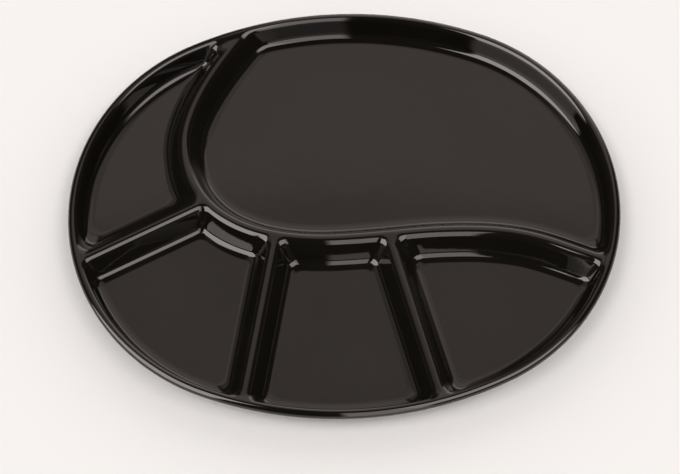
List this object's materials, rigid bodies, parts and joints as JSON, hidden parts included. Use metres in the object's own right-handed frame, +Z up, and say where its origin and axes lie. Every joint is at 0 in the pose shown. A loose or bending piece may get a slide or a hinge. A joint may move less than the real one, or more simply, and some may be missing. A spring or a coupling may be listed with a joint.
{
  "type": "fondue plate",
  "caption": "Oval black-glazed stoneware plate whose S-shaped and straight dividers part its top into sauce and food compartments, on a bare foot ring.",
  "frame": {"origin": "on the table, under the middle of the plate's oval outline", "axes": "+X along the plate's length, with the large compartment's end at +X, -Y towards the diner, +Z up"},
  "size_m": [0.28, 0.225, 0.022],
  "materials": {
    "clay": "bare fired stoneware, matt",
    "glaze": "black gloss glaze"
  },
  "bodies": {
    "root": {"clay_body": "clay", "glaze_coat": "glaze", "foot_well_glaze": "glaze"}
  },
  "joints": []
}
